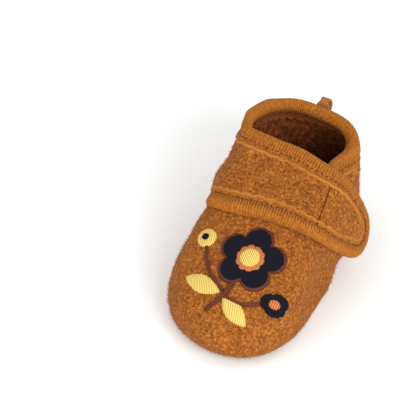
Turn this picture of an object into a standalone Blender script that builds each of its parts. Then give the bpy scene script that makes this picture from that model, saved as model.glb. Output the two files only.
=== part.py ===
"""Left first walker shoe in boiled wool: a soft slipper with a bound collar and one instep strap.

Toe along -Y, heel along +Y, outer side of the foot along +X, floor at z = 0. Sizes here are in
millimetres and become metres where a mesh is made.
"""
from collections import namedtuple

import bmesh
import bpy
import numpy as np

MM = 0.001

# Driving dimensions of the last
LENGTH = 130.0
BALL_WIDTH = 62.4
HEEL_HEIGHT = 50.6
THROAT_HEIGHT = 57.5
TOE_SPRING = 3.0
SPRING_START = -32.0
SPRING_FADE_HEIGHT = 40.0

# Thicknesses and clearances
WALL = 2.7
CLEAR = 0.3
STRAP_THICKNESS = 2.5
STRAP_FEATHER = 0.6
STRAP_PRESS = 2.8
BINDING_THICKNESS = 1.1
BINDING_CROWN = 1.2
BINDING_WIDTH = 5.0
BINDING_CLEAR = 0.5
OUTSOLE_THICKNESS = 3.0
INSOLE_THICKNESS = 2.0
RIM_INSET = 0.9

# Hollow under the inner waist of the sole: where it lies along and across the plate
ARCH_LIFT = 1.0
ARCH_ALONG = (-8.0, 9.0, 9.0, 26.0)
ARCH_ACROSS = (0.35, 1.0)

# Where the closed strap draws the inner side in: along the foot and up the wall
PRESS_ALONG = (-26.0, -8.0, 12.0, 34.0)
PRESS_UPRIGHT = (10.0, 28.0, 44.0, 60.0)

# Pull loop tape
LOOP_WIDTH = 5.5
LOOP_TAPE = 1.0
LOOP_ROOT_HEIGHT = 40.5
LOOP_TOP_HEIGHT = 53.0
LOOP_REACH = 4.0
LOOP_ASIDE = -2.4

# Bends of that tape: out from its seat and up from where it leaves the wool below the binding
LOOP_LEAVES_BELOW = 2.6
LOOP_RISE_BEND = (0.6, 2.2)
LOOP_RISE_END = 2.0
LOOP_FALL_START = 2.5
LOOP_FALL_BEND = (-0.8, 3.6)
LOOP_FALL_FOOT = (0.9, 0.4)

# Bounding box centre of the finished shoe in last coordinates
FRAME_CENTRE = np.array([2.65, 1.3, 0.0])

# Shape of a level outline: exponent of its round ends near the sole and at the collar
BLUNT_LOW = 0.893
BLUNT_HIGH = 0.846
BLUNT_HEIGHTS = (13.0, 56.0)
MEDIAL_LEAN = 2.9

Level = namedtuple("Level", "height toe heel lateral medial")
# Levels of the last: height, toe and heel as shares of half the length, girth as shares of the ball
LEVELS = [
    Level(0.4, -0.874, 0.871, 0.845, 0.845),
    Level(0.9, -0.932, 0.923, 0.915, 0.915),
    Level(3.6, -0.983, 0.969, 0.972, 0.972),
    Level(8.5, -1.000, 0.991, 0.998, 0.998),
    Level(14.0, -0.998, 1.000, 1.003, 1.003),
    Level(20.0, -0.963, 1.000, 1.000, 0.995),
    Level(26.0, -0.877, 0.992, 0.983, 0.965),
    Level(31.5, -0.746, 0.978, 0.947, 0.920),
    Level(37.0, -0.577, 0.963, 0.905, 0.870),
    Level(42.5, -0.377, 0.945, 0.860, 0.825),
    Level(48.0, -0.162, 0.925, 0.805, 0.790),
    Level(54.0, 0.069, 0.905, 0.750, 0.755),
    Level(60.0, 0.208, 0.888, 0.715, 0.725),
    Level(66.0, 0.338, 0.875, 0.690, 0.700),
]

Station = namedtuple("Station", "along lateral medial")
# Half widths from toe to heel, as shares of half the ball width
STATIONS = [
    Station(0.00, 1.280, 1.250),
    Station(0.18, 1.135, 1.160),
    Station(0.34, 1.028, 1.055),
    Station(0.60, 0.955, 0.890),
    Station(0.85, 0.965, 0.946),
    Station(1.00, 1.093, 1.093),
]

Rim = namedtuple("Rim", "around lateral medial")
# Height of the wool's top edge from the throat round to the heel
COLLAR = [
    Rim(0.00, THROAT_HEIGHT, THROAT_HEIGHT),
    Rim(0.12, 56.0, 59.5),
    Rim(0.25, 52.0, 61.0),
    Rim(0.50, 44.6, 59.4),
    Rim(0.75, 46.2, 54.4),
    Rim(1.00, HEEL_HEIGHT, HEEL_HEIGHT),
]

Band = namedtuple("Band", "angle front rear gap")
# The strap from the inner sole edge over the instep to its tab, by angle from upright
STRAP_AXIS_HEIGHT = 20.0
STRAP = [
    Band(-118.0, 8.0, 27.0, 0.6),
    Band(-90.0, 1.5, 26.0, 0.6),
    Band(-60.0, -9.5, 24.0, 0.8),
    Band(-40.0, -16.5, 22.0, 1.1),
    Band(-29.0, -18.0, 18.0, 1.2),
    Band(-15.0, -17.8, 14.0, 0.9),
    Band(0.0, -17.0, 12.4, 0.7),
    Band(18.0, -16.5, 12.4, 0.9),
    Band(30.0, -16.0, 14.5, 1.4),
    Band(40.0, -15.3, 18.0, 2.0),
    Band(50.0, -13.6, 20.5, 2.3),
    Band(62.0, -9.8, 22.0, 2.7),
    Band(75.0, -4.5, 22.3, 3.3),
    Band(93.0, 2.0, 19.0, 4.2),
]
TURN_ANGLE = -29.0
FEATHER_ANGLES = (-43.0, -30.0)
FEATHER_ACROSS = (0.35, 1.0)
TAB_CORNER_ANGLE = 70.0
TAB_END_ANGLE = 93.0
TAB_END_SHARE = 0.42
TAB_ROUND = 2.6
COLLAR_BINDING_START = -0.30
COLLAR_BINDING_END = 0.45
BINDING_SHOULDER = 0.35

# Number of steps in each direction
UPPER_AROUND = 60
STRAP_ROWS = 46
STRAP_COLUMNS = 10
TAB_ROWS = 8
TAB_END_ROWS = 5
COLLAR_BINDING_ROWS = 37
SOLE_ROWS = 29
SOLE_COLUMNS = 7
LOOP_ARC_ROWS = 10
UPPER_SHARES = (0.0, 0.045, 0.10, 0.17, 0.25, 0.34, 0.44, 0.54, 0.64, 0.74, 0.84, 0.92, 1.0)

# Fineness of the surface functions: rows read for a height, radii searched, steps for a slope
FINE_COUNT = 1301
SEARCH_RADII = (5.0, 75.0)
SEARCH_STEPS = 45
WALL_STEP = 0.004
STRAP_TURN_STEP = 0.6
STRAP_SLIDE_STEP = 0.4
SHARP_ANGLE = 50.0


def column(rows, name):
    """One named column of a table as an array."""
    return np.array([getattr(row, name) for row in rows])


def smooth(x, knots, values):
    """A smooth curve through the knots that never swings past its neighbours."""
    slopes = np.diff(values) / np.diff(knots)
    tangents = np.zeros(len(values))
    tangents[0] = slopes[0]
    tangents[-1] = slopes[-1]
    for i in range(1, len(values) - 1):
        before, after = slopes[i - 1], slopes[i]
        if before * after > 0:
            tangents[i] = 2.0 * before * after / (before + after)
    x = np.clip(x, knots[0], knots[-1])
    i = np.clip(np.searchsorted(knots, x) - 1, 0, len(knots) - 2)
    step = knots[i + 1] - knots[i]
    t = (x - knots[i]) / step
    start = (1 + 2 * t) * (1 - t) ** 2 * values[i] + t * (1 - t) ** 2 * step * tangents[i]
    end = t * t * (3 - 2 * t) * values[i + 1] + t * t * (t - 1) * step * tangents[i + 1]
    return start + end


def table(rows, key, name, x):
    """A table's column read at x, measured along its key column."""
    return smooth(x, column(rows, key), column(rows, name))


# Level outlines are read by row number, so the wall can turn flat under the foot
ROW_NUMBERS = np.arange(len(LEVELS), dtype=float)
FINE_ROWS = np.linspace(0, len(LEVELS) - 1, FINE_COUNT)
FINE_HEIGHTS = smooth(FINE_ROWS, ROW_NUMBERS, column(LEVELS, "height"))


def row_at(height):
    """The row number whose level lies at a height."""
    return np.interp(height, FINE_HEIGHTS, FINE_ROWS)


def level(row, name):
    return smooth(row, ROW_NUMBERS, column(LEVELS, name))


def blend(x, start, end):
    """0 before start, 1 after end, and soft between."""
    t = np.clip((x - start) / (end - start), 0, 1)
    return t * t * (3 - 2 * t)


def swell(x, span):
    """Rises over a span's first two places and falls over its last two."""
    return blend(x, span[0], span[1]) * (1 - blend(x, span[2], span[3]))


def lean(height):
    """The instep leans to the inner side of the foot."""
    t = np.clip((height - BLUNT_HEIGHTS[0]) / (BLUNT_HEIGHTS[1] - BLUNT_HEIGHTS[0]), 0, 1)
    return -MEDIAL_LEAN * t * t


def strap_press(y, height):
    """How far the closed strap draws the inner side in."""
    return STRAP_PRESS * swell(y, PRESS_ALONG) * swell(height, PRESS_UPRIGHT)


def half_width(along, row, outer_side):
    """Half width at a share of the way from toe to heel, on one level and one side."""
    height = level(row, "height")
    toe = level(row, "toe") * LENGTH / 2
    y = toe + (level(row, "heel") * LENGTH / 2 - toe) * along
    blunt = np.interp(height, BLUNT_HEIGHTS, (BLUNT_LOW, BLUNT_HIGH))
    round_ends = (2 * np.sqrt(np.clip(along * (1 - along), 0, None))) ** blunt
    lateral = table(STATIONS, "along", "lateral", along) * level(row, "lateral")
    medial = table(STATIONS, "along", "medial", along) * level(row, "medial")
    full = round_ends * np.where(outer_side, lateral, medial) * BALL_WIDTH / 2
    return full - np.where(outer_side, 0.0, strap_press(y, height) * round_ends)


def spring(y, height):
    """How far the toe spring lifts a point."""
    t = np.clip((SPRING_START - y) / (LENGTH / 2 + SPRING_START), 0, None)
    return TOE_SPRING * t * t * np.clip(1 - height / SPRING_FADE_HEIGHT, 0, 1)


def wall(around, row):
    """A point on the outside of the upper: around is 0 at the toe, +1 or -1 at the heel."""
    turn = np.abs(around) * np.pi
    along = (1 - np.cos(turn)) / 2
    toe = level(row, "toe") * LENGTH / 2
    heel = level(row, "heel") * LENGTH / 2
    height = level(row, "height")
    y = toe + (heel - toe) * along
    side = np.where(around >= 0, 1.0, -1.0)
    x = lean(height) + side * half_width(along, row, around >= 0)
    return np.stack([x, y, height + spring(y, height)], -1)


def unit(vectors):
    return vectors / np.linalg.norm(vectors, axis=-1, keepdims=True)


def wrapped(around):
    return (around + 1) % 2 - 1


def wall_at(around, row, offset):
    """A point at an offset outwards from the upper's outside."""
    across = wall(wrapped(around + WALL_STEP), row) - wall(wrapped(around - WALL_STEP), row)
    above = np.minimum(row + WALL_STEP, len(LEVELS) - 1)
    below = np.maximum(row - WALL_STEP, 0)
    normal = unit(np.cross(across, wall(around, above) - wall(around, below)))
    return wall(around, row) + normal * np.asarray(offset)[..., None]


def collar_height(around):
    share = np.abs(around)
    outer = table(COLLAR, "around", "lateral", share)
    inner = table(COLLAR, "around", "medial", share)
    return np.where(around >= 0, outer, inner)


def instep(angle, y):
    """The upper's outside read by angle about the strap's axis, which runs along the foot."""
    sine, cosine = np.sin(np.radians(angle)), np.cos(np.radians(angle))
    near, far = np.full(np.shape(y), SEARCH_RADII[0]), np.full(np.shape(y), SEARCH_RADII[1])
    for _ in range(SEARCH_STEPS):
        radius = (near + far) / 2
        height = STRAP_AXIS_HEIGHT + radius * cosine
        row = row_at(height)
        toe = level(row, "toe") * LENGTH / 2
        heel = level(row, "heel") * LENGTH / 2
        reach = radius * sine - lean(height)
        along = np.clip((y - toe) / (heel - toe), 0, 1)
        inside = (np.abs(reach) < half_width(along, row, reach >= 0)) & (height < LEVELS[-1].height)
        near, far = np.where(inside, radius, near), np.where(inside, far, radius)
    return np.stack([near * sine, y, STRAP_AXIS_HEIGHT + near * cosine], -1)


def strap_at(angle, y, offset):
    """A point at an offset outwards from the instep."""
    across = instep(angle + STRAP_TURN_STEP, y) - instep(angle - STRAP_TURN_STEP, y)
    along = instep(angle, y + STRAP_SLIDE_STEP) - instep(angle, y - STRAP_SLIDE_STEP)
    normal = unit(np.cross(across, along))
    return instep(angle, y) + normal * np.asarray(offset)[..., None]


def strap_edges(angle):
    """Front and rear edge of the strap at an angle, drawn in round the end of the tab."""
    front = table(STRAP, "angle", "front", angle)
    rear = table(STRAP, "angle", "rear", angle)
    t = np.clip((angle - TAB_CORNER_ANGLE) / (TAB_END_ANGLE - TAB_CORNER_ANGLE), 0, 1)
    share = np.maximum((1 - t ** TAB_ROUND) ** (1 / TAB_ROUND), TAB_END_SHARE)
    middle = (front + rear) / 2
    return middle + (front - middle) * share, middle + (rear - middle) * share


def strap_gap(angle):
    return table(STRAP, "angle", "gap", angle)


def strap_thickness(angle, y):
    """Full thickness, feathered to the quarter on the inner side where both are one cut."""
    front, rear = strap_edges(angle)
    across = np.clip((y - front) / (rear - front), 0, 1)
    thinned = (1 - blend(angle, *FEATHER_ANGLES)) * blend(across, *FEATHER_ACROSS)
    return STRAP_THICKNESS + (STRAP_FEATHER - STRAP_THICKNESS) * thinned


def material(name, colour, roughness):
    made = bpy.data.materials.new(name)
    made.use_nodes = True
    shader = made.node_tree.nodes["Principled BSDF"]
    shader.inputs["Base Color"].default_value = (*colour, 1.0)
    shader.inputs["Roughness"].default_value = roughness
    shader.inputs["Metallic"].default_value = 0.0
    return made


def loft(name, sections, finish, closed=False):
    """One solid skinned over like sections, with flat ends unless it closes on itself."""
    sections = np.asarray(sections)
    count, size = sections.shape[:2]
    points = ((sections - FRAME_CENTRE) * MM).reshape(-1, 3)
    faces = []
    for i in range(count if closed else count - 1):
        after = (i + 1) % count
        for j in range(size):
            beside = (j + 1) % size
            faces.append((i * size + j, i * size + beside, after * size + beside, after * size + j))
    if not closed:
        faces.append(tuple(reversed(range(size))))
        faces.append(tuple((count - 1) * size + j for j in range(size)))
    mesh = bpy.data.meshes.new(name)
    mesh.from_pydata([tuple(point) for point in points], [], faces)
    skin = bmesh.new()
    skin.from_mesh(mesh)
    bmesh.ops.recalc_face_normals(skin, faces=skin.faces)
    skin.to_mesh(mesh)
    skin.free()
    mesh.materials.append(finish)
    mesh.shade_smooth()
    mesh.set_sharp_from_angle(angle=np.radians(SHARP_ANGLE))
    made = bpy.data.objects.new(name, mesh)
    bpy.context.scene.collection.objects.link(made)
    made.parent = shoe
    return made


def upper_sections():
    """Wall sections round the foot: up the outside, over the top edge and down the inside."""
    sections = []
    shares = np.array(UPPER_SHARES)
    for around in wrapped(np.arange(UPPER_AROUND) * 2 / UPPER_AROUND):
        rows = shares * row_at(collar_height(around))
        outside = wall_at(around, rows, np.zeros(len(rows)))
        inside = wall_at(around, rows, np.full(len(rows), -WALL))
        sections.append(np.concatenate([outside, inside[::-1]]))
    return sections


def sole_sections(bottom, thickness, arch):
    """Plate sections from toe to heel, inside the rim of the upper and resting in its bend."""
    sections = []
    for share in (np.arange(SOLE_ROWS) + 1) / (SOLE_ROWS + 1):
        edge = np.array([-share, share])
        ends = wall_at(edge, np.zeros(2), np.zeros(2))
        length_share = 1 - RIM_INSET / (LENGTH / 2 * LEVELS[0].heel)
        y = ends[0, 1] * length_share
        x = np.linspace(ends[0, 0] + RIM_INSET, ends[1, 0] - RIM_INSET, SOLE_COLUMNS)
        inner_side = np.linspace(1, 0, SOLE_COLUMNS)
        hollow = arch * swell(y, ARCH_ALONG) * blend(inner_side, *ARCH_ACROSS)
        lift = bottom + spring(y, 0.0)
        under = np.stack([x, np.full(SOLE_COLUMNS, y), lift + hollow], -1)
        over = np.stack([x, np.full(SOLE_COLUMNS, y), np.full(SOLE_COLUMNS, lift + thickness)], -1)
        sections.append(np.concatenate([under, over[::-1]]))
    return sections


def strap_sections():
    """Strap sections from the inner sole edge to the tab: across the outside and back inside."""
    sections = []
    for angle in strap_angles():
        front, rear = strap_edges(angle)
        y = np.linspace(front, rear, STRAP_COLUMNS)
        angles = np.full(STRAP_COLUMNS, angle)
        gap = strap_gap(angles)
        outside = strap_at(angles, y, gap + strap_thickness(angles, y))
        inside = strap_at(angles, y, gap)
        sections.append(np.concatenate([outside, inside[::-1]]))
    return sections


def strap_angles():
    """Rows along the strap, closer together round the end of the tab."""
    body = np.linspace(STRAP[0].angle, TAB_CORNER_ANGLE, STRAP_ROWS)
    turn = np.sin(np.linspace(0, np.pi / 2, TAB_ROWS))
    tab = TAB_CORNER_ANGLE + (TAB_END_ANGLE - TAB_CORNER_ANGLE) * turn
    return np.concatenate([body, tab[1:]])


def below_collar(around, distance):
    """Place on the wall at a distance below its top edge, measured square to that edge."""
    row = row_at(collar_height(around))
    ahead, behind = wrapped(around + WALL_STEP), wrapped(around - WALL_STEP)
    across = (wall(ahead, row) - wall(behind, row)) / (2 * WALL_STEP)
    up = (wall(around, row + WALL_STEP) - wall(around, row - WALL_STEP)) / (2 * WALL_STEP)
    edge = wall(ahead, row_at(collar_height(ahead))) - wall(behind, row_at(collar_height(behind)))
    down = unit(np.cross(edge, np.cross(across, up)))
    down *= -np.sign(np.sum(down * up))
    turn, drop = np.linalg.lstsq(np.stack([across, up], -1), down, rcond=None)[0]
    return wrapped(around + turn * distance), row + drop * distance


def collar_binding_sections():
    """Channel over the wool's top edge, from the strap's turn round the heel to the outer side."""
    sections = []
    span = 2 + COLLAR_BINDING_START - COLLAR_BINDING_END
    outer = BINDING_CLEAR + BINDING_THICKNESS
    depth = np.array([BINDING_WIDTH, BINDING_WIDTH / 2, 0.0])
    for share in np.linspace(0, 1, COLLAR_BINDING_ROWS):
        around = wrapped(np.array(COLLAR_BINDING_START - share * span))
        arounds, rows = below_collar(around, depth)
        out_far = wall_at(arounds, rows, np.full(3, outer))
        out_near = wall_at(arounds, rows, np.full(3, BINDING_CLEAR))
        in_near = wall_at(arounds, rows, np.full(3, -WALL - BINDING_CLEAR))
        in_far = wall_at(arounds, rows, np.full(3, -WALL - outer))
        rise = unit(out_near[2] - out_near[1])
        shoulder = BINDING_CLEAR + BINDING_CROWN * BINDING_SHOULDER
        crown = BINDING_CLEAR + BINDING_CROWN
        ring = [out_near[0], out_far[0], out_far[1], out_far[2] + rise * shoulder]
        ring += [out_near[2] + rise * crown, in_near[2] + rise * crown]
        ring += [in_far[2] + rise * shoulder, in_far[1], in_far[0], in_near[0], in_near[1]]
        ring += [in_near[2] + rise * BINDING_CLEAR, out_near[2] + rise * BINDING_CLEAR, out_near[1]]
        sections.append(ring)
    return sections


def strap_rim():
    """The strap's free edge as angle and place along the foot: rear edge, tab end, front edge."""
    angles = strap_angles()
    front, rear = strap_edges(angles)
    free = angles > TURN_ANGLE
    end = np.linspace(rear[-1], front[-1], TAB_END_ROWS)[1:-1]
    angle = np.concatenate([angles[free], np.full(len(end), angles[-1]), angles[::-1]])
    y = np.concatenate([rear[free], end, front[::-1]])
    return angle, y


def strap_binding_sections():
    """Angle-shaped band on the strap's outside that turns down over its free edge."""
    angle, y = strap_rim()
    radius = np.linalg.norm(instep(angle, y)[:, [0, 2]] - (0, STRAP_AXIS_HEIGHT), axis=1)
    arc = np.radians(angle) * radius
    run = unit(np.stack([np.gradient(arc), np.gradient(y)], -1))
    inward = np.stack([run[:, 1], -run[:, 0]], -1)

    def shifted(distance):
        turned = angle + np.degrees(inward[:, 0] * distance / radius)
        return turned, y + inward[:, 1] * distance

    def at(distance, share, extra):
        turned, place = shifted(distance)
        cloth = strap_gap(angle) + share * strap_thickness(angle, y) + extra
        return strap_at(turned, place, cloth)

    flange = BINDING_WIDTH - BINDING_CROWN
    near = BINDING_CLEAR
    far = near + BINDING_THICKNESS
    edge = near + BINDING_CROWN
    rings = [at(flange, 1, near), at(flange, 1, far), at(flange / 2, 1, far)]
    rings += [at(-near, 1, far), at(-edge, 1, near), at(-edge, 0, 0)]
    rings += [at(-near, 0, 0), at(-near, 1, near), at(flange / 2, 1, near)]
    return np.stack(rings, 1)


def pull_loop_sections():
    """Folded tape on the heel: up over the binding, round the top and down beside itself."""
    tape_bottom = HEEL_HEIGHT - BINDING_WIDTH
    leaves = tape_bottom - LOOP_LEAVES_BELOW
    half_tape = LOOP_TAPE / 2
    root_y, leaves_y, binding_y = wall(np.ones(3), row_at([LOOP_ROOT_HEIGHT, leaves, tape_bottom]))[:, 1]
    root_y += CLEAR + half_tape
    leaves_y += CLEAR + half_tape
    near_y = binding_y + BINDING_CLEAR + BINDING_THICKNESS + CLEAR + half_tape
    far_y = near_y + LOOP_REACH
    radius = LOOP_REACH / 2
    arc_height = LOOP_TOP_HEIGHT - radius
    doubled = LOOP_TAPE + CLEAR
    rising = [(root_y, LOOP_ROOT_HEIGHT), (leaves_y, leaves)]
    rising += [(near_y + LOOP_RISE_BEND[0], leaves + LOOP_RISE_BEND[1])]
    rising += [(near_y, arc_height - LOOP_RISE_END)]
    turn = np.linspace(np.pi, 0, LOOP_ARC_ROWS)
    top = [(near_y + radius + radius * np.cos(a), arc_height + radius * np.sin(a)) for a in turn]
    falling = [(far_y, arc_height - LOOP_FALL_START)]
    falling += [(far_y + LOOP_FALL_BEND[0], leaves + LOOP_FALL_BEND[1])]
    falling += [(leaves_y + doubled + LOOP_FALL_FOOT[0], leaves + LOOP_FALL_FOOT[1])]
    falling += [(root_y + doubled, LOOP_ROOT_HEIGHT)]
    path = np.array(rising + top + falling)
    centre_x = lean(HEEL_HEIGHT) + LOOP_ASIDE
    run = unit(np.gradient(path, axis=0))
    side = np.stack([run[:, 1], -run[:, 0]], -1)
    sections = []
    for (y, z), (side_y, side_z) in zip(path, side):
        ring = []
        for x_sign, tape_sign in ((-1, -1), (1, -1), (1, 1), (-1, 1)):
            reach = tape_sign * half_tape
            ring.append((centre_x + x_sign * LOOP_WIDTH / 2, y + side_y * reach, z + side_z * reach))
        sections.append(ring)
    return sections


for old in list(bpy.data.objects):
    bpy.data.objects.remove(old, do_unlink=True)

shoe = bpy.data.objects.new("shoe", None)
bpy.context.scene.collection.objects.link(shoe)

wool = material("ochre boiled wool", (0.434, 0.141, 0.024), 0.95)
strap_wool = material("ochre boiled wool strap", (0.434, 0.141, 0.024), 0.95)
collar_rib = material("ochre rib knit collar tape", (0.521, 0.205, 0.027), 0.9)
strap_rib = material("ochre rib knit strap tape", (0.521, 0.205, 0.027), 0.9)
loop_tape = material("ochre woven loop tape", (0.491, 0.183, 0.026), 0.85)
suede = material("brown suede", (0.171, 0.064, 0.019), 0.9)
felt = material("ochre wool felt", (0.305, 0.093, 0.018), 0.95)

loft("outsole", sole_sections(0.0, OUTSOLE_THICKNESS, ARCH_LIFT), suede)
loft("insole", sole_sections(OUTSOLE_THICKNESS + CLEAR, INSOLE_THICKNESS, 0.0), felt)
loft("upper", upper_sections(), wool, closed=True)
loft("instep_strap", strap_sections(), strap_wool)
loft("collar_binding", collar_binding_sections(), collar_rib)
loft("strap_binding", strap_binding_sections(), strap_rib)
loft("pull_loop", pull_loop_sections(), loop_tape)
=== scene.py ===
import math

import bmesh
import bpy
import numpy as np
from mathutils import Matrix, Vector
from mathutils.bvhtree import BVHTree


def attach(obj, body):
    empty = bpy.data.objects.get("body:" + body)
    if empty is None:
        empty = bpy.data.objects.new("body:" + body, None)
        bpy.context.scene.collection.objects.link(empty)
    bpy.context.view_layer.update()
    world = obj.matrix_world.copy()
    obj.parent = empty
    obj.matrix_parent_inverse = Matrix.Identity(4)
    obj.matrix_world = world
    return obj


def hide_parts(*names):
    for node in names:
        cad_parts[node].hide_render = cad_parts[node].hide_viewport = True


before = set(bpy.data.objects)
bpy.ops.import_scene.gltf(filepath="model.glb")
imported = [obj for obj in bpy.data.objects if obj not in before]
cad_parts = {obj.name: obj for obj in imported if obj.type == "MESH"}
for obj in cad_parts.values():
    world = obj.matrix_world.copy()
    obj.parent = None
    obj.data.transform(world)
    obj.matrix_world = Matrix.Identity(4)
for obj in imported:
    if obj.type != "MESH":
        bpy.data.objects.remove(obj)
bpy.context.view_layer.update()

# Outsole
# A plate of brown split suede, cut to the last and sewn in along the wool that turns under it.
# Its nap faces the floor: matt, soft and mottled, and darker in the pores.
MM = 0.001
MERGE = 0.001 * MM
QUAD_ANGLE = math.radians(60)
RIM_SLOPE = 0.3
SOLE_EDGE_ROUND = 0.5 * MM
SOLE_SEAM = 1.3 * MM
# A pull is a centre, a reach and a shift in millimetres. This one draws in the waist on the outer side
WAIST = ((27, 13, 5), (14, 14, 16), (-3.8, 0, 0))


def only(piece):
    """Selects one piece and nothing else."""
    bpy.ops.object.select_all(action="DESELECT")
    bpy.context.view_layer.objects.active = piece
    piece.select_set(True)


def apply(piece, kind, **settings):
    """Finishes a piece with one modifier."""
    only(piece)
    modifier = piece.modifiers.new(kind, kind)
    for name, value in settings.items():
        setattr(modifier, name, value)
    bpy.ops.object.modifier_apply(modifier=modifier.name)


def round_edges(piece, width, segments=3, angle=45):
    """Rounds the edges of a piece that turn by more than an angle, in degrees."""
    apply(piece, "BEVEL", width=width, segments=segments, limit_method="ANGLE",
          angle_limit=math.radians(angle))


def work(piece, *steps):
    """Runs mesh operators, each with its settings, on all of a piece."""
    only(piece)
    bpy.ops.object.mode_set(mode="EDIT")
    for operator, settings in steps:
        bpy.ops.mesh.select_all(action="SELECT")
        operator(**settings)
    bpy.ops.object.mode_set(mode="OBJECT")


def placed(name, data):
    """A new object in the scene."""
    made = bpy.data.objects.new(name, data)
    bpy.context.scene.collection.objects.link(made)
    return made


def cut_from(cad_name, name):
    """A new piece with the merged shape of a CAD node, in quads."""
    piece = placed(name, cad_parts[cad_name].data.copy())
    piece.data.materials.clear()
    angles = {"face_threshold": QUAD_ANGLE, "shape_threshold": QUAD_ANGLE}
    work(piece, (bpy.ops.mesh.remove_doubles, {"threshold": MERGE}),
         (bpy.ops.mesh.tris_convert_to_quads, angles))
    return piece


def vectors(items, name):
    """One vector of each of a mesh's items, as an array."""
    values = np.empty(len(items) * 3, np.float32)
    items.foreach_get(name, values)
    return values.reshape(-1, 3).astype(float)


def coordinates(piece):
    """The places of a mesh's points."""
    return vectors(piece.data.vertices, "co")


def point_normals(piece):
    """The normals of a mesh's points."""
    return vectors(piece.data.vertex_normals, "vector")


def move_points(piece, places):
    """Puts a mesh's points at new places."""
    piece.data.vertices.foreach_set("co", np.asarray(places, np.float32).ravel())
    piece.data.update()


def let_out(piece, amount):
    """Cuts a flat plate larger all round."""
    places, rim = coordinates(piece), point_normals(piece) * (1, 1, 0)
    slope = np.linalg.norm(rim, axis=1, keepdims=True)
    move_points(piece, places + np.where(slope > RIM_SLOPE, rim / np.maximum(slope, RIM_SLOPE), 0) * amount)


def soften(x, start, end):
    """0 at start, 1 at end, and soft between."""
    t = np.clip((x - start) / (end - start), 0, 1)
    return t * t * (3 - 2 * t)


def settle(piece, pulls):
    """Draws parts of a soft piece aside, each most at its centre and softly less around it."""
    places = coordinates(piece)
    for centre, reach, shift in pulls:
        off = np.linalg.norm((places / MM - centre) / reach, axis=1)
        places += np.outer(1 - soften(off, 0, 1), shift) * MM
    move_points(piece, places)


def linear(colour):
    """An sRGB hex colour as linear red, green, blue and alpha."""
    shares = [int(colour[i:i + 2], 16) / 255 for i in (1, 3, 5)]
    return [c / 12.92 if c <= 0.04045 else ((c + 0.055) / 1.055) ** 2.4 for c in shares] + [1.0]


def new_material(name, constants):
    """A material with the values of its shader that are the same all over."""
    material = bpy.data.materials.new(name)
    material.use_nodes = True
    for socket, value in constants.items():
        material.node_tree.nodes["Principled BSDF"].inputs[socket].default_value = value
    return material


def node(tree, kind, inputs=(), **settings):
    """Adds a shader node with its settings. An input is a value or the output that feeds it.

    A Mix mixes colours if no other kind is set, with its share at input 0 and the colours at 6 and 7.
    """
    made = tree.nodes.new("ShaderNode" + kind)
    if kind == "Mix":
        made.data_type = "RGBA"
    for name, value in settings.items():
        setattr(made, name, value)
    for name, value in dict(inputs).items():
        if isinstance(value, bpy.types.NodeSocket):
            tree.links.new(value, made.inputs[name])
        else:
            made.inputs[name].default_value = value
    return made


def canvas(material):
    """A material's node tree, and the places on a piece to draw with."""
    return material.node_tree, node(material.node_tree, "TexCoord").outputs["Object"]


def show(tree, colour, relief):
    """Gives a material's shader the colour of a Mix node and the relief of a Bump node."""
    shader = tree.nodes["Principled BSDF"]
    tree.links.new(colour.outputs[2], shader.inputs["Base Color"])
    tree.links.new(relief.outputs["Normal"], shader.inputs["Normal"])


def finish(piece, material, slot, *nodes):
    """Dresses a piece, lets it ride on the shoe and hides the CAD nodes that it stands for."""
    piece.data.materials.clear()
    piece.data.materials.append(material)
    piece.data.shade_smooth()
    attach(piece, "root")
    if nodes:
        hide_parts(*nodes)


# Split suede: cut fibres stand up, so it is fully matt and mottled where the nap lies either way
suede = new_material("split suede", {"Roughness": 0.95, "Sheen Weight": 0.25})
tree, place = canvas(suede)
shades = node(tree, "TexNoise", {"Vector": place, "Scale": 1 / (7 * MM), "Detail": 4.0}).outputs["Fac"]
grain = node(tree, "TexNoise", {"Vector": place, "Scale": 1 / (0.6 * MM), "Detail": 3.0}).outputs["Fac"]
mixed = node(tree, "Mix", {0: shades, 6: linear("#5B3A22"), 7: linear("#86603F")})
pores = node(tree, "MapRange", {"Value": grain, "From Min": 0.25, "From Max": 0.5, "To Min": 0.6})
pored = node(tree, "Mix", {0: 1.0, 6: mixed.outputs[2], 7: pores.outputs[0]}, blend_type="MULTIPLY")
nap = node(tree, "Bump", {"Height": grain, "Strength": 0.6, "Distance": 0.25 * MM})
show(tree, pored, nap)

outsole = cut_from("outsole", "suede_outsole")
let_out(outsole, SOLE_SEAM)
settle(outsole, [WAIST])
round_edges(outsole, SOLE_EDGE_ROUND)
finish(outsole, suede, "outsole_suede", "outsole")

# Insole
# A sock of pressed wool felt that lies loose on the outsole, ochre as the wool, flattened by wear.
# Only its heel shows, deep in the shoe.
FELT_ROUND = 0.8 * MM
FELT_REACH = 2.2 * MM

# Pressed felt: dull ochre, flecked, with no shine at all
felt = new_material("pressed wool felt", {"Roughness": 1.0})
tree, place = canvas(felt)
flecks = node(tree, "TexNoise", {"Vector": place, "Scale": 1 / (1.8 * MM), "Detail": 4.0}).outputs["Fac"]
tone = node(tree, "Mix", {0: flecks, 6: linear("#6E4019"), 7: linear("#9C6631")})
matting = node(tree, "Bump", {"Height": flecks, "Strength": 0.5, "Distance": 0.3 * MM})
show(tree, tone, matting)

insole = cut_from("insole", "felt_insole")
let_out(insole, FELT_REACH)
settle(insole, [WAIST])
round_edges(insole, FELT_ROUND)
finish(insole, felt, "insole_felt", "insole")

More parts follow.
